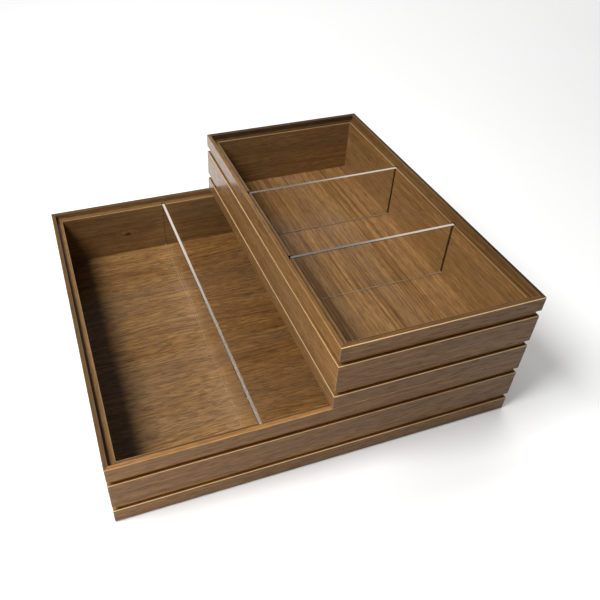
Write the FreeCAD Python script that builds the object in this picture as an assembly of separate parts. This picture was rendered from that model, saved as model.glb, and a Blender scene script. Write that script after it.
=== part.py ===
"""Stackable desk trays in stained oak with clear acrylic dividers.

A full-width tray stands on four thin pads, and a half-width tray stands on the rim of its right half,
located by four strips that drop into the rim's rabbet. Each tray is four mitred walls round a floor panel.

Millimetres, +Z up, +X to the right, front faces towards -Y. The origin is the centre of the footprint, on
the surface that the trays stand on.
"""
import FreeCAD, Part
import math
import os

# Driving dimensions
FULL_WIDTH = 320.0
DEPTH = 310.0
TRAY_HEIGHT = 60.0
WALL = 9.0

# Rim: an outer lip, and a rabbet inside it for the tray above
LIP_WIDTH = 3.5
RABBET_DEPTH = 5.0

# Outer faces: three bands, the middle one twice as tall as the others, parted by two grooves
GROOVE_HEIGHT = 5.0
GROOVE_DEPTH = 2.5
EDGE_BAND = (TRAY_HEIGHT - 2 * GROOVE_HEIGHT) / 4

# Floor panel, in a rebate along the walls' lower inside edge
FLOOR_THICKNESS = 4.5
REBATE_WIDTH = 4.0

# Small rounds on the edges of the wood, and the chamfer on the acrylic
EDGE_ROUND = 0.7
LIP_ROUND = 0.5
FOOT_ROUND = 0.2
ACRYLIC_CHAMFER = 0.3

# Dividers, and their slots, which are open at the ledge. A divider stands against one side of its slot.
ACRYLIC = 3.0
SLOT_WIDTH = 4.0
SLOT_DEPTH = 3.0
SIDE_GAP = 0.3
END_GAP = 1.3
LEDGE_GAP = 0.3

# Hidden splines across the mitres
SPLINE_THICKNESS = 2.0
SPLINE_LENGTH = 6.0
SPLINE_MARGIN = 3.0

# Strips that locate the upper tray
LOCATING_GAP = 0.3

# Pads under the lower tray
PAD_THICKNESS = 1.0
PAD_RADIUS = 7.0
PAD_INSET = 18.0

# Worked out from the above
HALF_WIDTH = FULL_WIDTH / 2
LEDGE = TRAY_HEIGHT - RABBET_DEPTH
LOWER_BASE = PAD_THICKNESS
UPPER_BASE = LOWER_BASE + TRAY_HEIGHT
FRONT = -DEPTH / 2
BACK = DEPTH / 2


def rounded_wire(corners):
    """Closed wire through (point, radius) corners; a radius above 0 rounds its corner with a tangent arc."""
    starts, ends, edges = [], [], []
    for index, (corner, radius) in enumerate(corners):
        before = corners[index - 1][0]
        after = corners[(index + 1) % len(corners)][0]
        towards = [(other - corner).normalize() for other in (before, after)]
        reach = radius / math.tan(towards[0].getAngle(towards[1]) / 2)
        starts.append(corner + towards[0] * reach)
        ends.append(corner + towards[1] * reach)
        if radius > 0:
            middle = (towards[0] + towards[1]).normalize()
            centre = corner + middle * math.hypot(radius, reach)
            arc = Part.Arc(starts[-1], centre - middle * radius, ends[-1])
            edges.append(arc.toShape())
    for index in range(len(corners)):
        edges.append(Part.makeLine(ends[index - 1], starts[index]))
    return Part.Wire(Part.__sortEdges__(edges))


def prism(corners, direction):
    return Part.Face(rounded_wire(corners)).extrude(direction)


def box(low, high):
    low, high = FreeCAD.Vector(*low), FreeCAD.Vector(*high)
    size = high - low
    return Part.makeBox(size.x, size.y, size.z, low)


def wall_section():
    """Corners of a wall's cross section: Y runs inwards from the outer face, Z up from the underside."""
    corners = [
        (0, 0, FOOT_ROUND),
        (WALL - REBATE_WIDTH, 0, 0),
        (WALL - REBATE_WIDTH, FLOOR_THICKNESS, 0),
        (WALL, FLOOR_THICKNESS, 0),
        (WALL, LEDGE, LIP_ROUND),
        (LIP_WIDTH, LEDGE, 0),
        (LIP_WIDTH, TRAY_HEIGHT, LIP_ROUND),
        (0, TRAY_HEIGHT, LIP_ROUND),
    ]
    for groove_top in (TRAY_HEIGHT - EDGE_BAND, EDGE_BAND + GROOVE_HEIGHT):
        groove_bottom = groove_top - GROOVE_HEIGHT
        corners += [
            (0, groove_top, EDGE_ROUND),
            (GROOVE_DEPTH, groove_top, 0),
            (GROOVE_DEPTH, groove_bottom, 0),
            (0, groove_bottom, EDGE_ROUND),
        ]
    return [(FreeCAD.Vector(0, y, z), radius) for y, z, radius in corners]


def mitre_outline(length):
    """Plan of a wall of that outer length, mitred at both ends, with half of each rounded outer corner."""
    diagonal = EDGE_ROUND * (1 - math.cos(math.pi / 4))
    near = EDGE_ROUND * (1 - math.sin(math.pi / 8))
    far = EDGE_ROUND * (1 - math.cos(math.pi / 8))
    point = FreeCAD.Vector
    left_arc = Part.Arc(point(diagonal, diagonal), point(near, far), point(EDGE_ROUND, 0))
    right_arc = Part.Arc(
        point(length - EDGE_ROUND, 0),
        point(length - near, far),
        point(length - diagonal, diagonal),
    )
    edges = [
        left_arc.toShape(),
        Part.makeLine(point(EDGE_ROUND, 0), point(length - EDGE_ROUND, 0)),
        right_arc.toShape(),
        Part.makeLine(point(length - diagonal, diagonal), point(length - WALL, WALL)),
        Part.makeLine(point(length - WALL, WALL), point(WALL, WALL)),
        Part.makeLine(point(WALL, WALL), point(diagonal, diagonal)),
    ]
    return Part.Wire(edges)


def corner_spline():
    """Tongue that stands upright across the mitre at the origin's corner, inside the two walls."""
    bottom = FLOOR_THICKNESS + SPLINE_MARGIN
    height = LEDGE - SPLINE_MARGIN - bottom
    low = FreeCAD.Vector(-SPLINE_LENGTH / 2, -SPLINE_THICKNESS / 2, bottom)
    spline = Part.makeBox(SPLINE_LENGTH, SPLINE_THICKNESS, height, low)
    middle = (WALL + GROOVE_DEPTH) / 2
    spline.rotate(FreeCAD.Vector(), FreeCAD.Vector(0, 0, 1), -45)
    spline.translate(FreeCAD.Vector(middle, middle, 0))
    return spline


def straight_wall(length, slots):
    """Wall along +X from the origin, outer face on Y = 0, with a divider slot centred at each X in slots."""
    blank = prism(wall_section(), FreeCAD.Vector(length, 0, 0))
    plan = Part.Face(mitre_outline(length)).extrude(FreeCAD.Vector(0, 0, TRAY_HEIGHT))
    wall = blank.common(plan)
    spline = corner_spline()
    wall = wall.cut(spline)
    wall = wall.cut(spline.mirror(FreeCAD.Vector(length / 2, 0, 0), FreeCAD.Vector(1, 0, 0)))
    for middle in slots:
        slot = box(
            (middle - SLOT_WIDTH / 2, WALL - SLOT_DEPTH, FLOOR_THICKNESS),
            (middle + SLOT_WIDTH / 2, WALL, TRAY_HEIGHT),
        )
        wall = wall.cut(slot)
    return wall


def tray_corners(left, right):
    """Each side's name, its first outer corner and its turn about Z, going round from the front."""
    return {
        "front": ((left, FRONT), 0, right - left),
        "right": ((right, FRONT), 90, DEPTH),
        "back": ((right, BACK), 180, right - left),
        "left": ((left, BACK), 270, DEPTH),
    }


def placed(shape, corner, turn, base):
    moved = shape.copy()
    moved.rotate(FreeCAD.Vector(), FreeCAD.Vector(0, 0, 1), turn)
    moved.translate(FreeCAD.Vector(corner[0], corner[1], base))
    return moved


def make_tray(name, left, right, base, slots):
    """Walls, floor panel and splines of one tray; slots gives each side's slot positions along that side."""
    pieces = {}
    splines = []
    for side, (corner, turn, length) in tray_corners(left, right).items():
        wall = straight_wall(length, slots.get(side, ()))
        pieces[f"{name}_{side}_wall"] = placed(wall, corner, turn, base)
        splines.append(placed(corner_spline(), corner, turn, base))
    margin = WALL - REBATE_WIDTH
    pieces[f"{name}_floor_panel"] = box(
        (left + margin, FRONT + margin, base),
        (right - margin, BACK - margin, base + FLOOR_THICKNESS),
    )
    pieces[f"{name}_corner_splines"] = Part.makeCompound(splines)
    return pieces


def thirds(length):
    """Middles of the two slots that part a wall's inner length into three equal compartments."""
    inner = length - 2 * WALL
    return [WALL + inner * part / 3 for part in (1, 2)]


def divider(low, high):
    """Acrylic sheet with lightly chamfered edges."""
    sheet = box(low, high)
    return sheet.makeChamfer(ACRYLIC_CHAMFER, sheet.Edges)


def divider_reach(low, high):
    """Ends of a divider that stands between two wall faces and enters a slot in each."""
    grip = SLOT_DEPTH - END_GAP
    return low + WALL - grip, high - WALL + grip


def make_dividers():
    to_near_face = SIDE_GAP - SLOT_WIDTH / 2
    bottom, top = FLOOR_THICKNESS, LEDGE - LEDGE_GAP
    pieces = {}
    near = -HALF_WIDTH + thirds(FULL_WIDTH)[0] + to_near_face
    front_end, back_end = divider_reach(FRONT, BACK)
    pieces["lower_divider"] = divider(
        (near, front_end, LOWER_BASE + bottom),
        (near + ACRYLIC, back_end, LOWER_BASE + top),
    )
    left_end, right_end = divider_reach(0, HALF_WIDTH)
    for name, along in zip(("upper_front_divider", "upper_back_divider"), thirds(DEPTH)):
        near = FRONT + along + to_near_face
        pieces[name] = divider(
            (left_end, near, UPPER_BASE + bottom),
            (right_end, near + ACRYLIC, UPPER_BASE + top),
        )
    return pieces


def make_locating_strips():
    """Strips under the upper tray's walls and floor panel, butted at the corners, inside the rim's lip."""
    outer = LIP_WIDTH + LOCATING_GAP
    left, right = outer, HALF_WIDTH - outer
    front, back = FRONT + outer, BACK - outer
    width = WALL - outer
    bottom = UPPER_BASE - RABBET_DEPTH + LOCATING_GAP
    return {
        "locating_strip_front": box((left, front, bottom), (right, front + width, UPPER_BASE)),
        "locating_strip_back": box((left, back - width, bottom), (right, back, UPPER_BASE)),
        "locating_strip_left": box(
            (left, front + width, bottom), (left + width, back - width, UPPER_BASE)
        ),
        "locating_strip_right": box(
            (right - width, front + width, bottom), (right, back - width, UPPER_BASE)
        ),
    }


def make_pads():
    pads = []
    for x_sign in (-1, 1):
        for y_sign in (-1, 1):
            x = x_sign * (HALF_WIDTH - PAD_INSET)
            y = y_sign * (BACK - PAD_INSET)
            centre = FreeCAD.Vector(x, y, 0)
            pads.append(Part.makeCylinder(PAD_RADIUS, PAD_THICKNESS, centre))
    return {"non_slip_pads": Part.makeCompound(pads)}


def main():
    lower_slots = {"front": thirds(FULL_WIDTH), "back": thirds(FULL_WIDTH)}
    upper_slots = {"left": thirds(DEPTH), "right": thirds(DEPTH)}
    pieces = {}
    pieces.update(make_tray("lower", -HALF_WIDTH, HALF_WIDTH, LOWER_BASE, lower_slots))
    pieces.update(make_tray("upper", 0, HALF_WIDTH, UPPER_BASE, upper_slots))
    pieces.update(make_dividers())
    pieces.update(make_locating_strips())
    pieces.update(make_pads())
    os.makedirs("parts", exist_ok=True)
    for node, shape in pieces.items():
        shape.exportStep(f"parts/{node}.step")
        print(f"{node:24s} solids {len(shape.Solids)}  valid {shape.isValid()}  mm3 {shape.Volume:9.0f}")


main()
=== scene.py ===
"""The looks of the stackable desk tray set: stained oak, clear acrylic, studio and camera.

Lengths are metres in the model's frame: +X right, -Y front, +Z up, with the origin on the standing surface.
"""
import math
from typing import NamedTuple

import bpy
from mathutils import Matrix, Vector


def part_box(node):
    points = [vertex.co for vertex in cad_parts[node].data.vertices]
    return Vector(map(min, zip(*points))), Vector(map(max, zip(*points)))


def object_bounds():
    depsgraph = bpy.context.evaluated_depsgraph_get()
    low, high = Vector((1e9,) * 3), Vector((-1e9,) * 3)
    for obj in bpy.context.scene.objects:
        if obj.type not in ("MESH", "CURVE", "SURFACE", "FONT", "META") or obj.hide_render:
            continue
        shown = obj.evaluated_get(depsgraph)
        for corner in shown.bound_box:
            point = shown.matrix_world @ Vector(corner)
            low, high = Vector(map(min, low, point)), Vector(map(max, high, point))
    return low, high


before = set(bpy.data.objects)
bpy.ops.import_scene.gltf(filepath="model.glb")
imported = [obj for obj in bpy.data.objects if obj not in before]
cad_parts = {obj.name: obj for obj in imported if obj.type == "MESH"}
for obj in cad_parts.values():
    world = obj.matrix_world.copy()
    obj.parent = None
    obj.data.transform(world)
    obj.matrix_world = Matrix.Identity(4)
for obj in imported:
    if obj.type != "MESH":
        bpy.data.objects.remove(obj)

CAD_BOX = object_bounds()
LOW, HIGH = (Vector(corner) for corner in CAD_BOX)
MIDDLE = (LOW + HIGH) / 2
MM = 0.001

# The walls' section, as in the model. Two grooves part three bands, and the middle band is twice as tall
# as the others.
TRAY_HEIGHT = 60 * MM
WALL = 9 * MM
LIP_WIDTH = 3.5 * MM
RABBET_DEPTH = 5 * MM
GROOVE_HEIGHT = 5 * MM
GROOVE_DEPTH = 2.5 * MM
EDGE_BAND = 12.5 * MM
SLOT_DEPTH = 3 * MM

SIDES = ("front", "back", "left", "right")
WALLS = [tray + side + "_wall" for tray in ("lower_", "upper_") for side in SIDES]
STRIPS = ["locating_strip_" + side for side in SIDES]
DIVIDERS = ["lower_divider", "upper_front_divider", "upper_back_divider"]


def grain_axis(node):
    """Fibres and saw marks run along a piece's longer side."""
    low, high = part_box(node)
    return "X" if high.x - low.x > high.y - low.y else "Y"


def outside(node):
    """Where a wall's outer face is across the grain, and the direction from it into the tray."""
    low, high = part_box(node)
    axis = 1 if grain_axis(node) == "X" else 0
    return (high[axis], -1) if "back" in node or "right" in node else (low[axis], 1)


# ---------------------------------------------------------------- building shader graphs

class Graph:
    """One material's nodes. Each helper adds nodes and returns the socket that carries their result."""

    def __init__(self, name):
        self.material = bpy.data.materials.new(name)
        self.material.use_nodes = True
        self.tree = self.material.node_tree
        self.tree.nodes.clear()

    def node(self, kind, inputs=None, **settings):
        node = self.tree.nodes.new(kind)
        for key, value in settings.items():
            setattr(node, key, value)
        for key, value in (inputs or {}).items():
            self.plug(node.inputs[key], value)
        return node

    def plug(self, socket, value):
        if isinstance(value, bpy.types.NodeSocket):
            self.tree.links.new(value, socket)
        else:
            socket.default_value = value

    def finish(self, shader):
        output = self.node("ShaderNodeOutputMaterial")
        self.plug(output.inputs["Surface"], shader)
        return self.material

    def math(self, operation, *values):
        node = self.node("ShaderNodeMath", operation=operation)
        for socket, value in zip(node.inputs, values):
            self.plug(socket, value)
        return node.outputs[0]

    def vector(self, x, y, z):
        return self.node("ShaderNodeCombineXYZ", {"X": x, "Y": y, "Z": z}).outputs[0]

    def split(self, vector):
        return tuple(self.node("ShaderNodeSeparateXYZ", {"Vector": vector}).outputs)

    def vector_math(self, operation, *values):
        node = self.node("ShaderNodeVectorMath", operation=operation)
        for socket, value in zip(node.inputs, values):
            self.plug(socket, value)
        return node.outputs["Value" if operation == "LENGTH" else "Vector"]

    def noise(self, vector, density, detail=2.0, roughness=0.5, output="Fac"):
        """Noise from 0 to 1, with density cells to the metre along each axis."""
        stretched = self.vector_math("MULTIPLY", vector, density)
        inputs = {"Vector": stretched, "Scale": 1.0, "Detail": detail, "Roughness": roughness}
        return self.node("ShaderNodeTexNoise", inputs).outputs[output]

    def smooth(self, value, low, high):
        """0 below low, 1 above high, with a soft step between."""
        inputs = {"Value": value, "From Min": low, "From Max": high}
        return self.node("ShaderNodeMapRange", inputs, interpolation_type="SMOOTHSTEP").outputs["Result"]

    def fade(self, value, low, high):
        """1 below low, 0 above high, with a soft step between."""
        return self.math("SUBTRACT", 1.0, self.smooth(value, low, high))

    def within(self, value, low, high):
        """1 from low to high, and 0 a hair outside them."""
        hair = 0.3 * MM
        return self.math("MULTIPLY", self.smooth(value, low - hair, low), self.fade(value, high, high + hair))

    def away_from(self, value, middle):
        """How far a value is from the middle, on either side."""
        return self.math("ABSOLUTE", self.math("SUBTRACT", value, middle))

    def mix(self, factor, first, second, blend="MIX"):
        node = self.node("ShaderNodeMix", data_type="RGBA", blend_type=blend)
        for key, value in (("Factor_Float", factor), ("A_Color", first), ("B_Color", second)):
            self.plug(next(s for s in node.inputs if s.identifier == key), value)
        return next(s for s in node.outputs if s.identifier == "Result_Color")


def colour(red, green, blue):
    """An 8-bit sRGB colour as the linear colour that shaders take."""
    def linear(value):
        value /= 255
        return value / 12.92 if value <= 0.04045 else ((value + 0.055) / 1.055) ** 2.4
    return (linear(red), linear(green), linear(blue), 1.0)


# ---------------------------------------------------------------- stained oak

OAK_LIGHT = colour(152, 114, 68)
OAK_DARK = colour(96, 65, 34)
OAK_GREY = colour(118, 95, 70)
OAK_PORE = colour(44, 27, 14)
# Pale colour on the arrises: partly sanding wear, partly a painted highlight
OAK_WORN_AND_HIGHLIGHT = colour(236, 198, 148)
# Painted shade: a darker, more saturated factor for the lower floor right of the divider, where it lies in
# shade and loses its sheen
DARK_LEAF_PAINTED_SHADE = (0.76, 0.68, 0.56, 1.0)
LACQUER = 0.8
THIN_LACQUER = 0.1

# Factors on each piece's colour. The walls' factors are set for how light falls on each side: the front walls
# are painted darker, a painted shade, and the side walls get their own tints for the light on them.
PLAIN_TINT = (1.0, 1.0, 1.0)
# The side walls' tints are set for how light falls on them
SIDE_TINT = (0.98, 0.95, 0.87)
# Painted shade: the front walls are darkened to the shade their outer faces sit in
FRONT_PAINTED_SHADE = (0.54, 0.50, 0.45)
UPPER_FLOOR_TINT = (1.14, 1.13, 1.14)
WALL_TINT_AND_SHADE = {
    "lower_front_wall": FRONT_PAINTED_SHADE, "lower_back_wall": PLAIN_TINT,
    "lower_left_wall": SIDE_TINT, "lower_right_wall": SIDE_TINT,
    "upper_front_wall": FRONT_PAINTED_SHADE, "upper_back_wall": PLAIN_TINT,
    "upper_left_wall": (0.84, 0.80, 0.71), "upper_right_wall": SIDE_TINT,
}

# Painted light and shade on each wall's lip, rabbet and grooves: how much brighter or darker they are painted
# than its faces, set for how light falls on that wall.
RIM_LIGHT_AND_SHADE = {
    "lower_front_wall": (2.4, 1.15, 1.8), "lower_back_wall": (0.50, 0.90, 1.0),
    "lower_left_wall": (0.60, 1.0, 1.0), "lower_right_wall": (0.60, 1.0, 1.0),
    "upper_front_wall": (1.3, 1.0, 1.6), "upper_back_wall": (0.18, 0.34, 1.0),
    "upper_left_wall": (1.25, 1.2, 1.0), "upper_right_wall": (0.35, 0.75, 1.0),
}
# Painted shade: the dividers' slots are darkened where their recess lies in shade
SLOT_PAINTED_SHADE = 0.25  # the dividers' slots, in every wall that has them

# A small knot inside the lower tray's back wall
KNOT = Vector((-0.090, 0.146, 0.028))
KNOT_REACH = 9 * MM
KNOT_BEND = 3 * MM


class Figure(NamedTuple):
    """How a board shows its grain."""
    wave: float          # how far the growth rings wander
    band: float          # contrast of the broad tones
    ring: float          # contrast of the growth rings
    streak: float        # contrast of the fibres
    pore: float          # darkness of the pores
    ring_pitch: float    # width of a ring, in metres
    streak_pitch: float  # width of a streak, in metres
    slender: float       # how much longer than wide a streak is


WALL_FIGURE = Figure(wave=0.15, band=0.6, ring=1.2, streak=1.3, pore=0.25,
                     ring_pitch=4 * MM, streak_pitch=1.7 * MM, slender=55)
LOWER_FLOOR_FIGURE = Figure(wave=0.6, band=0.9, ring=1.5, streak=1.8, pore=0.4,
                            ring_pitch=5 * MM, streak_pitch=1.8 * MM, slender=35)
UPPER_FLOOR_FIGURE = Figure(wave=0.12, band=0.5, ring=1.9, streak=2.2, pore=0.25,
                            ring_pitch=3.7 * MM, streak_pitch=1.8 * MM, slender=45)


def stretch(pitch, slenderness):
    """Noise cells to the metre for marks that are pitch wide and slenderness times as long."""
    return (1 / (pitch * slenderness), 1 / pitch, 1 / pitch)


def wander(g, timber, wave):
    """The growth rings wander slowly, and jitter a little, and every finer mark follows them."""
    slow_cells, slow_reach = (7.0, 16.0, 16.0), 26 * MM
    quick_cells, quick_reach = (30.0, 70.0, 70.0), 1 * MM
    fibres = timber
    for cells, reach in ((slow_cells, slow_reach), (quick_cells, quick_reach)):
        drift = g.vector_math("SUBTRACT", g.noise(timber, cells, detail=1.0, output="Color"), (0.5, 0.5, 0.5))
        sideways = (0.0, reach * wave, reach * wave)
        fibres = g.vector_math("ADD", fibres, g.vector_math("MULTIPLY", drift, sideways))
    return fibres


def shade(g, stain, mask, factor):
    """The stain, made brighter or darker by the factor where the mask is 1."""
    return g.mix(mask, stain, g.mix(1.0, stain, (factor, factor, factor, 1.0), "MULTIPLY"))


def paint_rim_light_and_shade(g, stain, node, depth, z, lip_top):
    """Paints light and shade on a wall's lip, rabbet, divider slots and grooves, making them brighter or
    darker than its faces.

    depth is how far a point is in from the wall's outer face.
    """
    lip_light_and_shade, rabbet_light_and_shade, groove_light_and_shade = RIM_LIGHT_AND_SHADE[node]
    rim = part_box(node)[1].z
    ledge = rim - RABBET_DEPTH
    base = rim - TRAY_HEIGHT

    above_ledge = g.smooth(z, ledge - 0.3 * MM, ledge - 0.1 * MM)
    rabbet = g.math("MULTIPLY", above_ledge, g.smooth(depth, LIP_WIDTH - 0.4 * MM, LIP_WIDTH - 0.1 * MM))
    slot_height = g.within(z, base + RABBET_DEPTH, ledge - 0.4 * MM)
    slot = g.math("MULTIPLY", g.within(depth, WALL - SLOT_DEPTH, WALL - 0.5 * MM), slot_height)
    groove_height = g.within(g.away_from(z, rim - TRAY_HEIGHT / 2), EDGE_BAND, EDGE_BAND + GROOVE_HEIGHT)
    groove = g.math("MULTIPLY", g.within(depth, 0.8 * MM, GROOVE_DEPTH), groove_height)

    shades = ((lip_top, lip_light_and_shade), (rabbet, rabbet_light_and_shade), (slot, SLOT_PAINTED_SHADE), (groove, groove_light_and_shade))
    for mask, factor in shades:
        stain = shade(g, stain, mask, factor)
    return stain


def wall_arrises(node):
    """A wall's sharp edges: each one's place across the grain, its height and how strongly it is lightened,
    by wear and by a painted highlight.
    """
    low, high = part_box(node)
    outer, inward = outside(node)
    groove_bottoms = (low.z + EDGE_BAND, high.z - EDGE_BAND - GROOVE_HEIGHT)
    # The strongest lines, on the front lip and on the band tops below the grooves, are mostly painted
    # highlight
    lines = [
        (outer, high.z, 0.9 if node == "upper_front_wall" else 0.15),
        (outer + inward * LIP_WIDTH, high.z, 0.15),
        (outer + inward * WALL, high.z - RABBET_DEPTH, 0.4),
    ]
    for bottom in groove_bottoms:
        lines.append((outer, bottom, 1.0 if "front" in node else 0.8))
    return lines


def paint_arris_wear_and_highlights(g, stain, node, band, across, z):
    """Lightens the stain on the arrises, more in some places than in others: partly sanding wear, partly a
    painted highlight where the edges catch the light.
    """
    uneven = g.math("MULTIPLY_ADD", g.smooth(band, 0.40, 0.58), 0.5, 0.5)
    for edge, height, strength in wall_arrises(node):
        to_edge = g.vector(g.math("SUBTRACT", across, edge), g.math("SUBTRACT", z, height), 0.0)
        lightened_edge = g.fade(g.vector_math("LENGTH", to_edge), 0.15 * MM, 0.7 * MM)
        stain = g.mix(g.math("MULTIPLY", lightened_edge, g.math("MULTIPLY", uneven, strength)), stain, OAK_WORN_AND_HIGHLIGHT)
    return stain


def oak(name, node, seed, figure, tint_and_shade=PLAIN_TINT, knot=None, painted_shade_edge=None, lacquer=LACQUER):
    """Dark-stained, satin-lacquered oak with its open pores showing.

    seed: which stretch of timber the piece is cut from. tint_and_shade: a factor on the piece's colour; on
    the walls it is set for how light falls on each side, and on the front walls it is a painted shade.
    knot: the middle of a small knot, as a point of the frame.
    painted_shade_edge: where the floor's painted shade begins; beyond it a darker, more saturated colour is
    painted. lacquer: weight of the clear coat.
    """
    g = Graph(name)
    place = g.node("ShaderNodeTexCoord").outputs["Object"]
    x, y, z = g.split(place)
    along, across = (x, y) if grain_axis(node) == "X" else (y, x)
    timber = g.vector_math("ADD", g.vector(along, across, z), (seed * 1.37, seed * 0.61, seed * 0.83))
    fibres = wander(g, timber, figure.wave)
    if knot:
        squeezed = g.vector_math("MULTIPLY", g.vector_math("SUBTRACT", place, knot), (0.55, 0.55, 1.0))
        from_knot = g.vector_math("LENGTH", squeezed)
        bend = g.math("MULTIPLY", g.fade(from_knot, 0.0, KNOT_REACH), KNOT_BEND)
        fibres = g.vector_math("ADD", fibres, g.vector(0.0, bend, bend))

    # Marks in the wood, from the broad tones down to the pores, which gather in the early wood
    band = g.noise(fibres, stretch(35 * MM, 12))
    ring = g.noise(fibres, stretch(figure.ring_pitch, 50), roughness=0.55)
    streak = g.noise(fibres, stretch(figure.streak_pitch, figure.slender), roughness=0.6)
    fading = g.noise(fibres, stretch(25 * MM, 12), detail=1.0)
    pore_noise = g.noise(fibres, stretch(1.2 * MM, 9), detail=1.0)
    early_wood = g.smooth(ring, 0.36, 0.60)
    pore_limit = g.math("MULTIPLY_ADD", early_wood, -0.08, 0.56)
    pores = g.smooth(g.math("SUBTRACT", pore_noise, pore_limit), 0.0, 0.05)

    # Colour
    tone = 0.5
    for mark, contrast in ((band, figure.band), (ring, figure.ring), (streak, figure.streak)):
        tone = g.math("MULTIPLY_ADD", g.math("SUBTRACT", mark, 0.5), contrast, tone)
    stain = g.mix(g.math("MINIMUM", g.math("MAXIMUM", tone, 0.0), 1.25), OAK_DARK, OAK_LIGHT)
    stain = g.mix(g.math("MULTIPLY", g.smooth(fading, 0.40, 0.70), 0.4), stain, OAK_GREY)
    stain = g.mix(g.math("MULTIPLY", pores, figure.pore), stain, OAK_PORE)
    if knot:
        heart = g.fade(from_knot, 0.9 * MM, 2.6 * MM)
        stain = g.mix(g.math("MULTIPLY", heart, 0.85), stain, OAK_PORE)
    stain = g.mix(1.0, stain, (*tint_and_shade, 1.0), "MULTIPLY")
    # Painted shade: the floor beyond the divider is painted darker and more saturated
    if painted_shade_edge is not None:
        painted_shade_leaf = g.smooth(along, painted_shade_edge - 2 * MM, painted_shade_edge + 2 * MM)
        stain = g.mix(painted_shade_leaf, stain, g.mix(1.0, stain, DARK_LEAF_PAINTED_SHADE, "MULTIPLY"))

    coat = lacquer
    if node in WALLS:
        outer, inward = outside(node)
        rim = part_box(node)[1].z
        depth = g.math("MULTIPLY", g.math("SUBTRACT", across, outer), inward)
        lip_top = g.smooth(z, rim - 0.5 * MM, rim - 0.1 * MM)
        # Painted light and shade on the lip, rabbet, slots and grooves, then pale arrises that are partly
        # wear and partly painted highlight
        stain = paint_rim_light_and_shade(g, stain, node, depth, z, lip_top)
        stain = paint_arris_wear_and_highlights(g, stain, node, band, across, z)
        coat = g.math("MULTIPLY_ADD", lip_top, -0.9 * lacquer, lacquer)

    relief = g.math("MULTIPLY_ADD", pores, -1.0, streak)
    bump = g.node("ShaderNodeBump", {"Height": relief, "Strength": 0.4, "Distance": 0.12 * MM})
    gloss = g.math("MULTIPLY_ADD", pores, 0.15, g.math("MULTIPLY_ADD", streak, 0.15, 0.38))
    shader = g.node("ShaderNodeBsdfPrincipled", {
        "Base Color": stain, "Roughness": gloss, "IOR": 1.28, "Normal": bump.outputs["Normal"],
        "Coat Weight": coat, "Coat IOR": 1.42, "Coat Roughness": 0.22,
    })
    return g.finish(shader.outputs["BSDF"])


# ---------------------------------------------------------------- plywood, rubber and acrylic

def plywood():
    """Thin raw plywood, whose plies show as stripes on every edge."""
    g = Graph("plywood")
    place = g.node("ShaderNodeTexCoord").outputs["Object"]
    x, y, _ = g.split(place)
    ply = g.math("PINGPONG", g.math("ADD", x, y), 0.7 * MM)
    layer = g.smooth(ply, 0.25 * MM, 0.45 * MM)
    fibre = g.noise(place, (900.0, 900.0, 60.0))
    tone = g.mix(layer, colour(196, 160, 112), colour(150, 112, 72))
    tone = g.mix(g.math("MULTIPLY", fibre, 0.5), tone, colour(110, 80, 50))
    bump = g.node("ShaderNodeBump", {"Height": fibre, "Strength": 0.4, "Distance": 0.1 * MM})
    shader = g.node("ShaderNodeBsdfPrincipled", {
        "Base Color": tone, "Roughness": 0.75, "Normal": bump.outputs["Normal"],
    })
    return g.finish(shader.outputs["BSDF"])


def pad_rubber():
    """Matt black rubber with dust on it."""
    g = Graph("pad_rubber")
    place = g.node("ShaderNodeTexCoord").outputs["Object"]
    dust = g.noise(place, (500.0, 500.0, 500.0), detail=4.0)
    moulding = g.noise(place, (2500.0, 2500.0, 2500.0))
    tone = g.mix(g.smooth(dust, 0.4, 0.75), colour(38, 38, 38), colour(72, 70, 67))
    bump = g.node("ShaderNodeBump", {"Height": moulding, "Strength": 0.4, "Distance": 0.08 * MM})
    shader = g.node("ShaderNodeBsdfPrincipled", {
        "Base Color": tone, "Roughness": g.math("MULTIPLY_ADD", dust, 0.3, 0.55),
        "Normal": bump.outputs["Normal"],
    })
    return g.finish(shader.outputs["BSDF"])


CLEAR = (0.995, 0.995, 0.985, 1.0)
SAWN = (0.85, 0.77, 0.67, 1.0)
LET_THROUGH = (0.82, 0.83, 0.82, 1.0)


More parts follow.
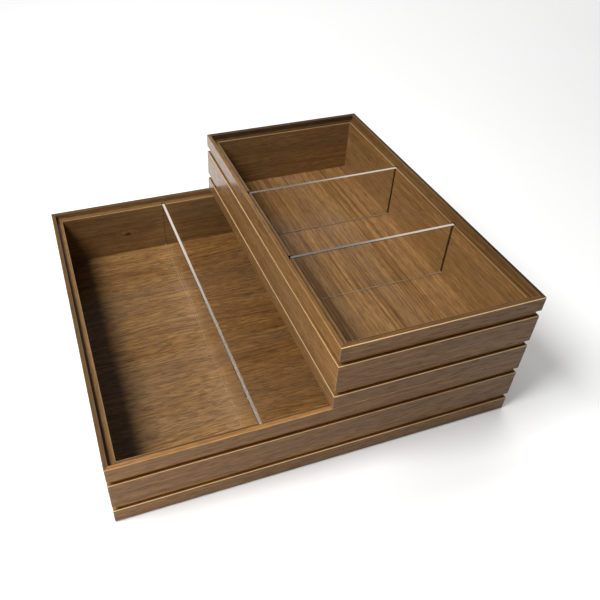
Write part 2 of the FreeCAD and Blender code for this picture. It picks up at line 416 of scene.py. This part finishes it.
def acrylic(node):
    """Clear sheet with polished faces and faint handling marks.

    Its top and bottom edges are sawn. The top one is painted whiter towards its back or right end, a painted
    glint.
    """
    low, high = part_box(node)
    g = Graph("acrylic_" + node)
    place = g.node("ShaderNodeTexCoord").outputs["Object"]
    x, y, z = g.split(place)
    if grain_axis(node) == "X":
        along, start, end, across, middle = x, low.x, high.x, y, (low.y + high.y) / 2
    else:
        along, start, end, across, middle = y, low.y, high.y, x, (low.x + high.x) / 2

    # The sawn edges, and how white they are, with a painted glint along the top one
    top = g.smooth(z, high.z - 0.3 * MM, high.z - 0.1 * MM)
    foot = g.fade(z, low.z + 0.1 * MM, low.z + 0.3 * MM)
    edge = g.math("MAXIMUM", top, foot)
    between_chamfers = g.fade(g.away_from(across, middle), 0.9 * MM, 1.5 * MM)
    smear = g.noise(place, (35.0, 35.0, 35.0), detail=4.0, roughness=0.6)
    # Painted glint: the top edge is whiter towards one end, on top of its even sawn frost
    glint_from = start + 0.35 * (end - start)
    lightened_edge = g.smooth(g.math("MULTIPLY_ADD", smear, 40 * MM, along), glint_from, end)
    sawn_white_and_glint = g.math("MULTIPLY_ADD", lightened_edge, 0.55, 0.20)
    top_frost = g.math("MULTIPLY", g.math("MULTIPLY", top, between_chamfers), sawn_white_and_glint)
    frost = g.math("MULTIPLY_ADD", foot, 0.5, top_frost)

    # Roughness of the handled faces, and of the saw marks on the edges
    scratch = g.noise(place, (900.0, 900.0, 12.0))
    polish = g.math("MULTIPLY_ADD", g.smooth(smear, 0.5, 0.75), 0.03, 0.008)
    saw_marks = g.math("MULTIPLY_ADD", scratch, 0.1, 0.2)
    roughness = g.math("MULTIPLY_ADD", edge, g.math("SUBTRACT", saw_marks, polish), polish)

    sheet = g.node("ShaderNodeBsdfPrincipled", {
        "Base Color": g.mix(edge, CLEAR, SAWN), "Roughness": roughness, "IOR": 1.49,
        "Transmission Weight": g.math("SUBTRACT", 1.0, frost),
    })
    # Lamps shine straight through, because bent light would take far more samples.
    lamp_light = g.node("ShaderNodeBsdfTransparent", {"Color": LET_THROUGH})
    shadow_ray = g.node("ShaderNodeLightPath").outputs["Is Shadow Ray"]
    shader = g.node("ShaderNodeMixShader", {
        0: shadow_ray, 1: sheet.outputs["BSDF"], 2: lamp_light.outputs["BSDF"],
    })
    return g.finish(shader.outputs["Shader"])


# ---------------------------------------------------------------- finishes on the parts

LOWER_FLOOR_SEED = 31
UPPER_FLOOR_SEED = 37


def dress(node, material):
    """Puts a material on a CAD node."""
    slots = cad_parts[node].material_slots
    for slot in slots:
        slot.material = material
    if not slots:
        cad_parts[node].data.materials.append(material)


def dress_solid_oak():
    for number, node in enumerate(WALLS + STRIPS):
        # Each wall's colour factor, which on the front walls is a painted shade
        tint_and_shade = WALL_TINT_AND_SHADE.get(node, PLAIN_TINT)
        knot = KNOT if node == "lower_back_wall" else None
        lacquer = THIN_LACQUER if "front" in node else LACQUER
        dress(node, oak("oak_" + node, node, number + 1, WALL_FIGURE, tint_and_shade, knot, lacquer=lacquer))


def dress_floors():
    lower, upper = "lower_floor_panel", "upper_floor_panel"
    # The floor's painted shade begins just right of the lower divider
    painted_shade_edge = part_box("lower_divider")[1].x + 4 * MM
    dress(lower, oak("oak_lower_floor", lower, LOWER_FLOOR_SEED, LOWER_FLOOR_FIGURE, painted_shade_edge=painted_shade_edge))
    dress(upper, oak("oak_upper_floor", upper, UPPER_FLOOR_SEED, UPPER_FLOOR_FIGURE, UPPER_FLOOR_TINT))


def dress_the_rest():
    ply = plywood()
    dress("lower_corner_splines", ply)
    dress("upper_corner_splines", ply)
    dress("non_slip_pads", pad_rubber())
    for node in DIVIDERS:
        dress(node, acrylic(node))


dress_solid_oak()
dress_floors()
dress_the_rest()


# ---------------------------------------------------------------- studio

FLOOR_REACH = 2.0


def floor():
    """A wide pale table top."""
    reach = FLOOR_REACH
    mesh = bpy.data.meshes.new("studio_floor")
    corners = [(-reach, -reach, 0), (reach, -reach, 0), (reach, reach, 0), (-reach, reach, 0)]
    mesh.from_pydata(corners, [], [(0, 1, 2, 3)])
    piece = bpy.data.objects.new("studio_floor", mesh)
    bpy.context.scene.collection.objects.link(piece)
    g = Graph("studio_floor")
    place = g.node("ShaderNodeTexCoord").outputs["Object"]
    cloud = g.noise(place, (3.0, 3.0, 3.0))
    tone = g.mix(cloud, (0.87, 0.87, 0.865, 1.0), (0.90, 0.90, 0.90, 1.0))
    shader = g.node("ShaderNodeBsdfPrincipled", {"Base Color": tone, "Roughness": 0.7})
    mesh.materials.append(g.finish(shader.outputs["BSDF"]))
    return piece


def soft_light(name, place, target, width, height, watts):
    """An area light that the lens can't see."""
    lamp = bpy.data.lights.new(name, "AREA")
    lamp.shape = "RECTANGLE"
    lamp.size = width
    lamp.size_y = height
    lamp.energy = watts
    piece = bpy.data.objects.new(name, lamp)
    bpy.context.scene.collection.objects.link(piece)
    piece.location = place
    piece.rotation_euler = (target - place).to_track_quat("-Z", "Y").to_euler()
    piece.visible_camera = False
    return piece


def around(azimuth, elevation, distance):
    """A point at a distance from the set's middle. Azimuth 0 is behind it (+Y), and 90 on its right (+X)."""
    a, e = math.radians(azimuth), math.radians(elevation)
    return MIDDLE + distance * Vector((math.sin(a) * math.cos(e), math.cos(a) * math.cos(e), math.sin(e)))


def light_table(table):
    """Lights the table top alone, so that it stays pale far from the near key light."""
    over_back = Vector((0.7, 1.5, 0.0))
    lamp = soft_light("table_light", over_back + Vector((0.0, 0.0, 2.2)), over_back, 3.0, 1.6, 46)
    lit = bpy.data.collections.new("lit_by_table_light")
    lit.objects.link(table)
    lamp.light_linking.receiver_collection = lit


def light_front():
    """A small card in front of the left corner, which lifts the near end of the front faces."""
    card = Vector((LOW.x - 0.20, LOW.y - 0.32, 0.06))
    corner = Vector((LOW.x + 0.08, LOW.y, 0.06))
    soft_light("front_card", card, corner, 0.30, 0.10, 1.7)


table = floor()
soft_light("key_light", around(-101, 54.5, 1.3), MIDDLE, 0.65, 0.50, 23.5)
soft_light("back_light", around(28, 20, 2.2), MIDDLE, 3.0, 1.1, 6)
light_table(table)
light_front()


AIR_STRENGTH = 0.07
BACKDROP_STRENGTH = 0.9


def studio_air():
    """Dim air that fills the shadows a little, behind a pale backdrop for the lens."""
    world = bpy.data.worlds.new("studio_air")
    world.use_nodes = True
    nodes, links = world.node_tree.nodes, world.node_tree.links
    background = nodes["Background"]
    background.inputs["Color"].default_value = (1.0, 0.99, 0.97, 1.0)
    to_lens = nodes.new("ShaderNodeLightPath").outputs["Is Camera Ray"]
    strength = nodes.new("ShaderNodeMapRange")
    strength.inputs["To Min"].default_value = AIR_STRENGTH
    strength.inputs["To Max"].default_value = BACKDROP_STRENGTH
    links.new(to_lens, strength.inputs["Value"])
    links.new(strength.outputs["Result"], background.inputs["Strength"])
    bpy.context.scene.world = world


studio_air()


# ---------------------------------------------------------------- camera

# Found by fitting a camera to the object's corners. Angles are in degrees, and the lens is in millimetres.
VIEW_AZIMUTH = 20.19
VIEW_ELEVATION = 41.07
VIEW_ROLL = 1.24
VIEW_DISTANCE = 0.5871
LOOK_AT = Vector((0.0, 0.005, 0.030))
SENSOR = 36.0
FOCAL_LENGTH = 38.78
SHIFT_X = 0.0733


def aim_camera():
    """Looks down at the set from in front of it and to its left."""
    a, e = math.radians(VIEW_AZIMUTH), math.radians(VIEW_ELEVATION)
    forward = Vector((math.sin(a) * math.cos(e), math.cos(a) * math.cos(e), -math.sin(e)))
    camera = bpy.data.objects.new("camera", bpy.data.cameras.new("camera"))
    camera.data.sensor_width = SENSOR
    camera.data.lens = FOCAL_LENGTH
    camera.data.shift_x = SHIFT_X
    camera.data.clip_start = 0.02
    turn = forward.to_track_quat("-Z", "Y").to_matrix().to_4x4()
    roll = Matrix.Rotation(math.radians(VIEW_ROLL), 4, "Z")
    camera.matrix_world = Matrix.Translation(LOOK_AT - VIEW_DISTANCE * forward) @ turn @ roll
    bpy.context.scene.collection.objects.link(camera)
    bpy.context.scene.camera = camera


aim_camera()
settings = bpy.context.scene.view_settings
settings.view_transform = "Standard"
settings.look = "None"
